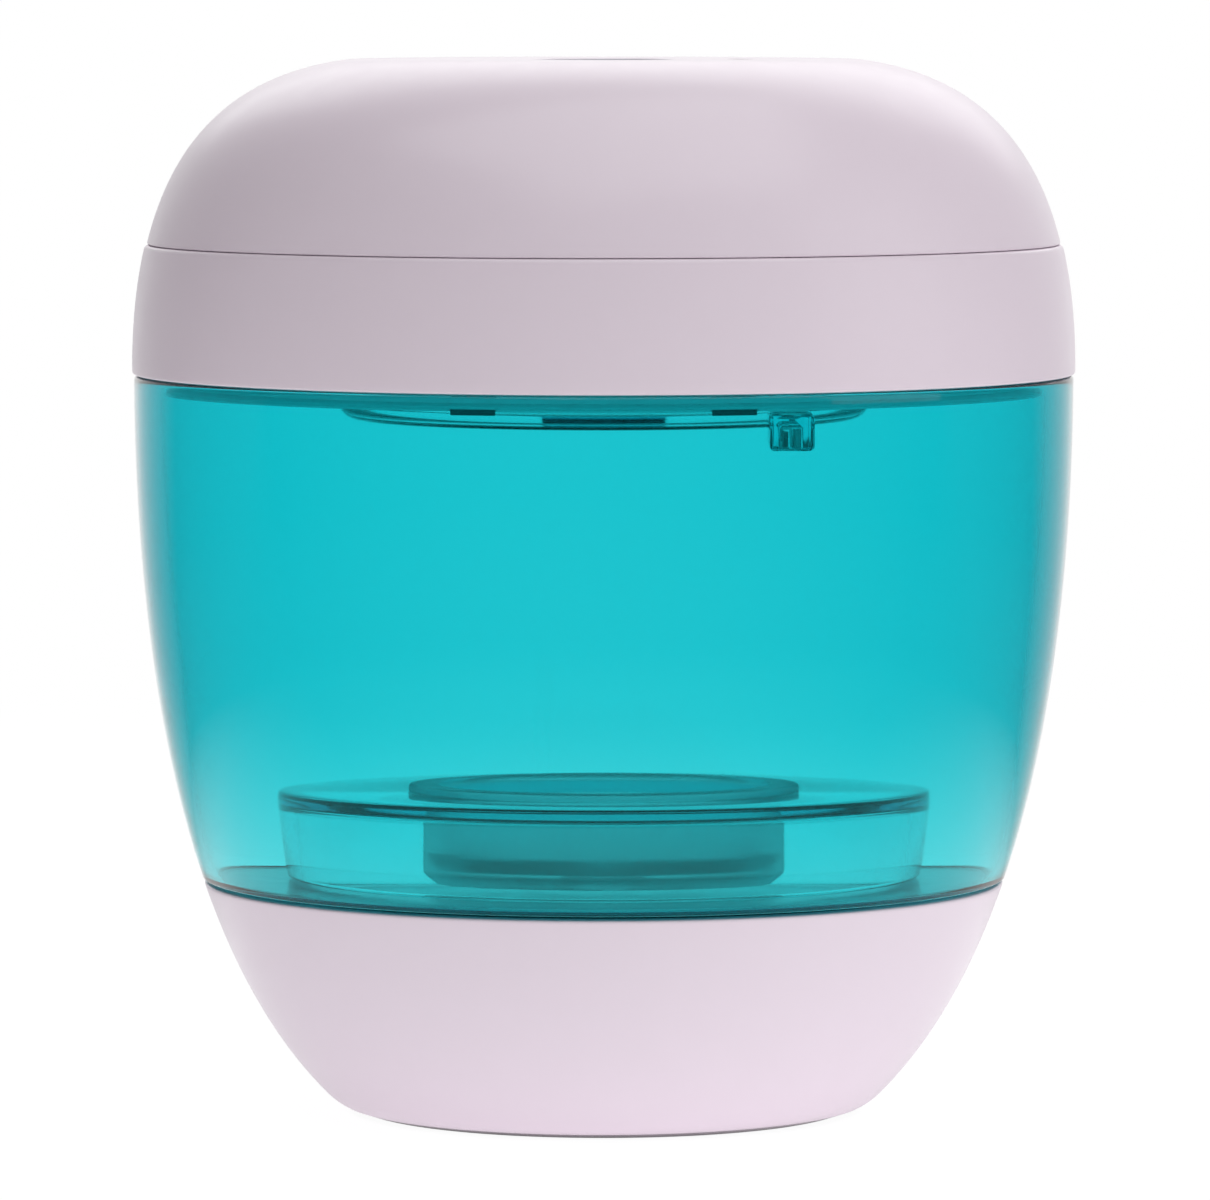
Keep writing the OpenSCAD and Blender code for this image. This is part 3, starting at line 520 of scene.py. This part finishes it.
def make_base_shell():
    pad_r = high("foot_pad").x + FIT_GAP
    pad_t = high("foot_pad").z
    floor_z = low("ballast_disc").z
    outer = with_round(between(OUTLINE, PAD_PROUD, base_top), 0.2, 0.25)
    inner = with_round(between(BASE_IN, floor_z, base_top)[::-1], 0.35, 1.2)
    profile = [(0, pad_t), (pad_r, pad_t, 0.2), (pad_r, PAD_PROUD, 0.2)] + outer + inner + [(0, floor_z)]
    shell = lathe("base_shell_skin", rounded(profile), turns=FINE_TURNS)
    return dress(shell, "base", "shell_white", "base_shell")


PAD_GROOVES = (4.0, 7.0, 10.0, 13.0)
GROOVE = 0.35


def make_foot_pad():
    r, t = high("foot_pad").x, high("foot_pad").z
    profile = [(0, 0.0)]
    for groove in PAD_GROOVES:
        profile += [(groove - GROOVE, 0.0, 0.1), (groove, GROOVE, 0.15), (groove + GROOVE, 0.0, 0.1)]
    profile += [(r, 0.0, 0.3), (r, t), (0, t)]
    return dress(lathe("foot_pad_skin", rounded(profile), turns=128), "base", "pad_rubber", "foot_pad")


# ---------------------------------------------------------------- chamber

KNUCKLE_R = 2.3
KNUCKLE_W = 7.0
KNUCKLE_GAP = 0.25
SIDE_KNUCKLE_W = 4.0
POST_W = 3.4
POST_H = 2.8
POST_REACH = 1.9
POST_SINK = 0.1
POST_SKIN = 0.8
POST_BACK_SKIN = 0.9
POST_FRONT_SKIN = 1.5
POST_TOP_SKIN = 0.9
ARM_DROP = 4.5
BORE_REACH = 9
ARM_ROOT = 0.6
ARM_UNDER = 1.6
ARM_BELOW_RIM = 0.05
PIN_FIT = 0.02
PIN_PLAY = 0.05
OVERLAP = 0.02


def make_chamber():
    spigot_low = chamber_low - SPIGOT_H
    spigot_r = radius_at(BASE_IN, spigot_low) - FIT_GAP
    outer = with_round(between(OUTLINE, chamber_low, chamber_rim), 0.2, 0.5)
    inner = with_round(between(CHAMBER_IN, FLOOR_TOP, chamber_rim)[::-1], 0.35, 1.6)
    profile = [
        (0, FLOOR_TOP - FLOOR_T),
        (spigot_r - SPIGOT_WALL, FLOOR_TOP - FLOOR_T, 0.3),
        (spigot_r - SPIGOT_WALL, spigot_low, 0.3),
        (spigot_r, spigot_low, 0.4),
        (spigot_r, chamber_low, 0.15),
    ] + outer + inner + [(0, FLOOR_TOP)]
    shell = lathe("chamber_shell", rounded(profile), turns=FINE_TURNS)
    # Post for the interlock plunger
    post_top = low("interlock_plunger").z - RUN_GAP
    plunger = (low("interlock_plunger") + high("interlock_plunger")) / 2
    post_back = plunger.y + POST_REACH
    post_front = -math.sqrt((radius_at(CHAMBER_IN, post_top) + POST_SINK) ** 2 - plunger.x ** 2)
    post = block(
        "post",
        (POST_W, post_back - post_front, POST_H),
        (plunger.x, (post_back + post_front) / 2, post_top - POST_H / 2),
        0.35,
        4,
    )
    # Arm and middle knuckle of the hinge
    arm_y = hinge_y - KNUCKLE_R
    foot_z = chamber_rim - ARM_DROP
    arm = prism_x(
        "arm",
        [
            (radius_at(OUTLINE, foot_z) - ARM_ROOT, foot_z),
            (hinge_y + KNUCKLE_R - OVERLAP, hinge_z - ARM_UNDER),
            (hinge_y + KNUCKLE_R - OVERLAP, hinge_z),
            (arm_y + OVERLAP, hinge_z),
            (arm_y + OVERLAP, chamber_rim - ARM_BELOW_RIM),
            (radius_at(OUTLINE, chamber_rim) - ARM_ROOT, chamber_rim - ARM_BELOW_RIM),
        ],
        -KNUCKLE_W / 2,
        KNUCKLE_W / 2,
    )
    knuckle = rod(
        "knuckle", KNUCKLE_R, (-KNUCKLE_W / 2, hinge_y, hinge_z), (KNUCKLE_W / 2, hinge_y, hinge_z), 64, 0.2
    )
    add(arm, knuckle)
    add(shell, arm)
    cut(
        post,
        block(
            "pocket",
            (POST_W - 2 * POST_SKIN, post_back - post_front - POST_BACK_SKIN - POST_FRONT_SKIN, POST_H),
            (
                plunger.x,
                (post_back + post_front + POST_FRONT_SKIN - POST_BACK_SKIN) / 2,
                post_top - POST_H / 2 - POST_TOP_SKIN,
            ),
            0.3,
        ),
    )
    cut(shell, rod("bore", pin_r + PIN_FIT, (-BORE_REACH, hinge_y, hinge_z), (BORE_REACH, hinge_y, hinge_z)))
    dress(shell, "base", "chamber_teal", "chamber")
    # The floor's upper face is more matt than the wall
    shell.data.materials.append(MATERIALS["chamber_grained"])
    for face in shell.data.polygons:
        if face.normal.z > 0.9 and abs(face.center.z / MM - FLOOR_TOP) < 0.2:
            face.material_index = 1
    return shell, dress(post, "base", "holder_teal", "chamber")


HOLDER_TOP_T = 1.0
HOLDER_DRAFT = 0.8
CUP_LIP = 1.2
CUP_LIP_T = 0.6
CUP_DRAIN_R = 3.0


def make_holder():
    node_low, node_high = low("pacifier_holder"), high("pacifier_holder")
    r, bottom, top = node_high.x, node_low.z, node_high.z
    plate = top - HOLDER_TOP_T
    foot_r = r - HOLDER_DRAFT
    hole_r = high("holder_cup").x - CUP_LIP + FIT_GAP
    profile = [
        (hole_r, plate, 0.2),
        (r - HOLDER_WALL, plate, 0.5),
        (foot_r - HOLDER_WALL, bottom, 0.3),
        (foot_r, bottom, 0.5),
        (r, plate),
        (r, top, 0.4),
        (hole_r, top, 0.2),
    ]
    stand = lathe("pacifier_stand", rounded(profile), turns=192)
    return dress(stand, "holder", "holder_teal", "pacifier_holder")


def make_holder_cup():
    node_low, node_high = low("holder_cup"), high("holder_cup")
    lip_r, bottom, lip_top = node_high.x, node_low.z, node_high.z
    r = lip_r - CUP_LIP
    inner_r = r - HOLDER_WALL
    floor_z = bottom + HOLDER_WALL
    lip_low = lip_top - CUP_LIP_T
    profile = [
        (CUP_DRAIN_R, bottom, 0.4),
        (r - 1.2, bottom, 0.8),
        (r, bottom + 1.2, 0.8),
        (r, lip_low, 0.1),
        (lip_r, lip_low, 0.15),
        (lip_r, lip_top, 0.3),
        (inner_r, lip_top, 0.5),
        (inner_r, floor_z + 1.0, 0.7),
        (inner_r - 1.0, floor_z, 0.7),
        (CUP_DRAIN_R, floor_z, 0.4),
    ]
    return dress(lathe("knob_cup", rounded(profile), turns=160), "holder", "cup_silicone", "holder_cup")


# ---------------------------------------------------------------- lid

RING_IN = radius_at(LID_IN, ring_low + 0.2)
FLANGE_T = 1.2
FLANGE_W = 3.6
WEB_T = 1.5
WEB_ROOT = 0.3
PORT_ROOM = (1.4, 1.2)
PORT_DEPTH = 9
TONGUE_W = 1.2
TONGUE_H = 2.0
BUTTON_FLANGE = 1.4
BUTTON_FLANGE_T = 1.0
LIGHT_HOLE_R = 1.05


def make_lid_ring():
    plate_top = high("inner_plate").z
    flange_top = plate_top + FLANGE_T
    flange_r = RING_IN - FLANGE_W
    outside = [(r + RING_PROUD, z) for r, z in between(OUTLINE, lid_edge, ring_edge)]
    inside = between(LID_IN, flange_top, ring_edge)[::-1]
    profile = with_round(outside, 0.3, 0.5) + with_round(inside, 0.3, 0.4)
    profile += [(flange_r, flange_top, 0.2), (flange_r, plate_top)]
    profile += [(RING_IN, plate_top), (RING_IN, lid_edge, 0.25)]
    ring = lathe("lid_ring_skin", rounded(profile), turns=FINE_TURNS)
    inner_x = KNUCKLE_W / 2 + KNUCKLE_GAP
    for side in (-1, 1):
        x0, x1 = sorted((side * inner_x, side * (inner_x + SIDE_KNUCKLE_W)))
        knuckle = rod("knuckle", KNUCKLE_R, (x0, hinge_y, hinge_z), (x1, hinge_y, hinge_z), 64, 0.25)
        web = prism_x(
            "web",
            [
                (RING_IN + WEB_ROOT, hinge_z - WEB_T),
                (hinge_y, hinge_z - WEB_T),
                (hinge_y, hinge_z + KNUCKLE_R - OVERLAP),
                (RING_IN + WEB_ROOT, hinge_z + KNUCKLE_R - OVERLAP),
            ],
            x0 + OVERLAP,
            x1 - OVERLAP,
        )
        add(ring, add(knuckle, web))
    half = KNUCKLE_W / 2 + KNUCKLE_GAP
    clearance = KNUCKLE_R + RUN_GAP
    cut(
        ring,
        rod("swing", clearance, (-half, hinge_y, hinge_z), (half, hinge_y, hinge_z), 64),
        block("below", (2 * half, 10, 12), (0, hinge_y - clearance + 5, hinge_z - 6), 0),
        rod("bore", pin_r + PIN_PLAY, (-20, hinge_y, hinge_z), (20, hinge_y, hinge_z), 48),
    )
    port_low, port_high = low("charge_socket"), high("charge_socket")
    middle = (port_low + port_high) / 2
    port_size = (port_high.x - port_low.x + PORT_ROOM[0], PORT_DEPTH, port_high.z - port_low.z + PORT_ROOM[1])
    cut(ring, block("port", port_size, (0, BODY_D / 2 - 1.5, middle.z), 0.9, 4))
    return dress(ring, "lid", "shell_white", "lid_ring")


def make_lid_cap():
    ceiling = cap_top - LID_WALL
    hole_r = high("power_button").x - BUTTON_FLANGE + RUN_GAP
    outer = between(OUTLINE, cap_low, cap_top, 0.1)
    tongue_r = radius_at(LID_IN, ring_top) - FIT_GAP
    profile = [(tongue_r, cap_low, 0.1)]
    profile += with_round(outer, 0.55, 0.0)
    profile += [(hole_r, cap_top, 0.15), (hole_r, ceiling)]
    profile += with_round(between(LID_IN, cap_low + 3, ceiling, 0.1)[::-1])
    tongue_low = ring_top - TONGUE_H
    profile += [(tongue_r - TONGUE_W, cap_low + 1.5)]
    profile += [(tongue_r - TONGUE_W, tongue_low, 0.3), (tongue_r, tongue_low, 0.3)]
    cap = lathe("lid_cap_skin", rounded(profile), turns=FINE_TURNS)
    light = (low("light_pipe") + high("light_pipe")) / 2
    ends = (light.x, light.y, ceiling - 1), (light.x, light.y, cap_top + 1)
    cut(cap, rod("light_hole", LIGHT_HOLE_R, *ends, 32))
    return dress(cap, "lid", "shell_white", "lid_cap")


def make_power_button():
    node_low, node_high = low("power_button"), high("power_button")
    flange_r = node_high.x
    r = flange_r - BUTTON_FLANGE
    face = node_high.z
    profile = [
        (0, node_low.z),
        (flange_r, node_low.z, 0.2),
        (flange_r, node_low.z + BUTTON_FLANGE_T, 0.2),
        (r, node_low.z + BUTTON_FLANGE_T, 0.1),
        (r, face, 0.5),
        (r - 0.9, face - 0.05, 0.6),
        (r - 2.6, face - 0.5, 1.2),
        (0, face - 0.6),
    ]
    cap = lathe("power_button_cap", rounded(profile), turns=128)
    return dress(cap, "button", "button_teal", "power_button")


SEAL_H = 0.45
SEAL_DEPTH = 0.8
TAB_X = 9.9
TAB_W = 3.4


def arc_block(name, r0, r1, z0, z1, x0, x1, steps=10):
    """A block between two radii and two heights, cut straight at two x positions on the front side."""
    bm = bmesh.new()
    rows = []
    for i in range(steps + 1):
        x = x0 + (x1 - x0) * i / steps
        corners = [(r0, z0), (r1, z0), (r1, z1), (r0, z1)]
        rows.append([bm.verts.new((x * MM, -math.sqrt(r * r - x * x) * MM, z * MM)) for r, z in corners])
    for row, other in zip(rows, rows[1:]):
        for k in range(4):
            n = (k + 1) % 4
            bm.faces.new((row[k], other[k], other[n], row[n]))
    bm.faces.new(rows[0])
    bm.faces.new(rows[-1][::-1])
    bmesh.ops.recalc_face_normals(bm, faces=bm.faces)
    rims = [e for e in bm.edges if e.calc_face_angle(0.0) > math.radians(60.0)]
    bmesh.ops.bevel(bm, geom=rims, offset=0.06 * MM, segments=2, profile=0.5, affect="EDGES")
    return finish_mesh(name, bm)


def make_lid_seal():
    r, top, tab_low = high("lid_seal").x, high("lid_seal").z, low("lid_seal").z
    bottom = top - SEAL_H
    profile = [
        (r - SEAL_DEPTH, bottom),
        (r - 0.1, bottom, 0.08),
        (r, (bottom + top) / 2, 0.1),
        (r - 0.1, top, 0.08),
        (r - SEAL_DEPTH, top),
    ]
    dress(lathe("lid_seal_ring", rounded(profile), turns=FINE_TURNS), "lid", "seal_rubber", "lid_seal")
    for side, label in ((-1, "left"), (1, "right")):
        x0, x1 = sorted((side * (TAB_X - TAB_W / 2), side * (TAB_X + TAB_W / 2)))
        tab = arc_block("seal_tab_" + label, r - SEAL_DEPTH, r - 0.1, tab_low, bottom + SEAL_H / 2, x0, x1)
        dress(tab, "lid", "seal_rubber", "lid_seal")
        tab.data.materials[0] = MATERIALS["tab_rubber"]


COVER_WALL = 1.2
COVER_STEP = 0.9


def make_lamp_cover():
    node_low, node_high = low("lamp_cover"), high("lamp_cover")
    r, bottom, lip_top = node_high.x, node_low.z, node_high.z
    rim = ring_low + 0.2
    profile = [
        (0, bottom),
        (r, bottom, 2.6),
        (r, rim, 0.2),
        (r - COVER_WALL, rim, 0.1),
        (r - COVER_WALL, lip_top, 0.2),
        (r - COVER_WALL - COVER_STEP, lip_top, 0.2),
        (r - COVER_WALL - COVER_STEP, rim - 0.6),
        (r - COVER_WALL, rim - COVER_STEP),
        (r - COVER_WALL, bottom + COVER_WALL, 1.6),
        (0, bottom + COVER_WALL),
    ]
    dish = lathe("lamp_cover_dish", rounded(profile, 8), turns=192)
    return dress(dish, "lid", "cover_clear", "lamp_cover")


make_base_shell()
make_foot_pad()
make_chamber()
make_holder()
make_holder_cup()
make_lid_ring()
make_lid_cap()
make_power_button()
make_lid_seal()
make_lamp_cover()

# ---------------------------------------------------------------- surroundings

SCENE = bpy.context.scene
FOCAL_PX = 8774.0
FRAME_PX = 1210.0
SENSOR = 36.0
CAMERA_DISTANCE = 0.710
CAMERA_HEIGHT = 0.0926
CAMERA_SIDE = 0.0001
AIM_HEIGHT = 0.0414
AMBIENT_LEFT = 0.12
AMBIENT_RIGHT = 0.52
ROOM_GLOSS = 0.05
FLOOR_GLOSS = 0.06
FLOOR_GLOW = 0.95
FLOOR_SHADE = 0.1
FLOOR_ALBEDO = 0.8
# Where the floor's mirrored brightness fades, and where the floor turns plain white (m)
POOL_EDGE = (0.07, 0.165)
POOL_FRONT = (-0.05, 0.04)
WHITE_EDGE = (0.1, 0.4)
# Compass headings between which the backdrop's mirrored brightness fades, across and towards the back
STRIP_ACROSS = (0.33, 0.84)
STRIP_BEHIND = (0.3, 0.7)


def make_camera():
    data = bpy.data.cameras.new("camera")
    data.sensor_width = SENSOR
    data.sensor_fit = "HORIZONTAL"
    data.lens = SENSOR * FOCAL_PX / FRAME_PX
    data.clip_start = 0.01
    data.clip_end = 20.0
    camera = new_object("camera", data)
    camera.location = (CAMERA_SIDE, -CAMERA_DISTANCE, CAMERA_HEIGHT)
    aim = Vector((CAMERA_SIDE, 0.0, AIM_HEIGHT)) - camera.location
    camera.rotation_euler = aim.to_track_quat("-Z", "Y").to_euler()
    SCENE.camera = camera


def larger(nodes, links, first, second):
    made = nodes.new("ShaderNodeMath")
    made.operation = "MAXIMUM"
    links.new(first, made.inputs[0])
    links.new(second, made.inputs[1])
    return made.outputs["Value"]


def times(nodes, links, first, second):
    made = nodes.new("ShaderNodeMath")
    made.operation = "MULTIPLY"
    links.new(first, made.inputs[0])
    links.new(second, made.inputs[1])
    return made.outputs["Value"]


def backdrop_strip(nodes, links, heading):
    """The mirrored brightness of the white backdrop behind the object, by compass heading."""
    axes = nodes.new("ShaderNodeSeparateXYZ")
    links.new(heading, axes.inputs["Vector"])
    aside = nodes.new("ShaderNodeMath")
    aside.operation = "ABSOLUTE"
    links.new(axes.outputs["X"], aside.inputs[0])
    across = to_range(nodes, links, aside.outputs["Value"], 1.0, 0.0, *STRIP_ACROSS)
    behind = to_range(nodes, links, axes.outputs["Y"], 0.0, 1.0, *STRIP_BEHIND)
    return times(nodes, links, across, behind)


def make_floor():
    """A white sweep that keeps the contact shadow; its reflection fades away from the object."""
    bm = bmesh.new()
    bmesh.ops.create_grid(bm, x_segments=1, y_segments=1, size=3.0)
    floor = finish_mesh("floor", bm)
    made, nodes, links = material("floor_white")
    skin = shader_of(nodes)
    set_values(skin, {"Roughness": 0.9, "Specular IOR Level": 0.0, "Emission Color": (1, 1, 1, 1)})
    path = nodes.new("ShaderNodeLightPath")
    direct = larger(nodes, links, path.outputs["Is Camera Ray"], path.outputs["Is Transmission Ray"])
    place = nodes.new("ShaderNodeTexCoord")
    reach = nodes.new("ShaderNodeVectorMath")
    reach.operation = "LENGTH"
    links.new(place.outputs["Object"], reach.inputs[0])
    around = to_range(nodes, links, reach.outputs["Value"], 1.0, FLOOR_GLOSS, *POOL_EDGE)
    spot = nodes.new("ShaderNodeSeparateXYZ")
    links.new(place.outputs["Object"], spot.inputs["Vector"])
    pool = times(nodes, links, around, to_range(nodes, links, spot.outputs["Y"], 0.1, 1.0, *POOL_FRONT))
    heading = nodes.new("ShaderNodeVectorMath")
    heading.operation = "NORMALIZE"
    links.new(place.outputs["Object"], heading.inputs[0])
    pool = larger(nodes, links, pool, backdrop_strip(nodes, links, heading.outputs["Vector"]))
    white = to_range(nodes, links, reach.outputs["Value"], FLOOR_GLOW, 1.0, *WHITE_EDGE)
    plain = to_range(nodes, links, reach.outputs["Value"], FLOOR_SHADE, 0.0, *WHITE_EDGE)
    seen = larger(
        nodes,
        links,
        times(nodes, links, direct, white),
        times(nodes, links, path.outputs["Is Glossy Ray"], pool),
    )
    tone = nodes.new("ShaderNodeMix")
    tone.inputs["A"].default_value = FLOOR_ALBEDO
    links.new(plain, tone.inputs["B"])
    links.new(larger(nodes, links, direct, path.outputs["Is Glossy Ray"]), tone.inputs["Factor"])
    links.new(tone.outputs["Result"], skin.inputs["Base Color"])
    links.new(seen, skin.inputs["Emission Strength"])
    floor.data.materials.append(made)


def make_world():
    """White behind the object, for the camera and through clear parts; a dim room all round."""
    world = bpy.data.worlds.new("studio")
    SCENE.world = world
    world.use_nodes = True
    nodes, links = world.node_tree.nodes, world.node_tree.links
    sky = nodes["Background"]
    sky.inputs["Color"].default_value = (1, 1, 1, 1)
    path = nodes.new("ShaderNodeLightPath")
    seen = larger(nodes, links, path.outputs["Is Camera Ray"], path.outputs["Is Transmission Ray"])
    place = nodes.new("ShaderNodeTexCoord")
    axes = nodes.new("ShaderNodeSeparateXYZ")
    links.new(place.outputs["Generated"], axes.inputs["Vector"])
    strip = backdrop_strip(nodes, links, place.outputs["Generated"])
    backdrop = to_range(nodes, links, strip, ROOM_GLOSS, 1.0, 0.0, 1.0)
    room = nodes.new("ShaderNodeMix")
    sides = to_range(nodes, links, axes.outputs["X"], AMBIENT_LEFT, AMBIENT_RIGHT, -1.0, 1.0)
    links.new(sides, room.inputs["A"])
    links.new(path.outputs["Is Glossy Ray"], room.inputs["Factor"])
    links.new(backdrop, room.inputs["B"])
    either = nodes.new("ShaderNodeMix")
    either.inputs["B"].default_value = 1.0
    links.new(seen, either.inputs["Factor"])
    links.new(room.outputs["Result"], either.inputs["A"])
    links.new(either.outputs["Result"], sky.inputs["Strength"])


def make_lamp(name, place, aim, size, watts, mirrored=True):
    data = bpy.data.lights.new(name, "AREA")
    data.shape = "RECTANGLE"
    data.size, data.size_y = size
    data.energy = watts
    lamp = new_object(name, data)
    lamp.visible_camera = False
    lamp.visible_glossy = mirrored
    lamp.visible_transmission = False
    lamp.location = place
    lamp.rotation_euler = (Vector(aim) - Vector(place)).to_track_quat("-Z", "Y").to_euler()


make_camera()
make_floor()
make_world()
make_lamp("overhead", (0.05, -0.15, 0.8), (0, -0.05, 0.0), (0.9, 0.9), 3.6)
make_lamp("right_box", (0.75, -0.25, 0.3), (0, 0, 0.05), (0.5, 0.6), 0.5)
make_lamp("back_box", (0.05, 0.6, 0.42), (0, 0, 0.08), (0.8, 0.4), 0.8)
make_lamp("floor_panel", (0.1, -0.1, 0.00002), (0.1, -0.1, 1.0), (0.5, 0.5), 0.5, mirrored=False)

SCENE.view_settings.view_transform = "Standard"
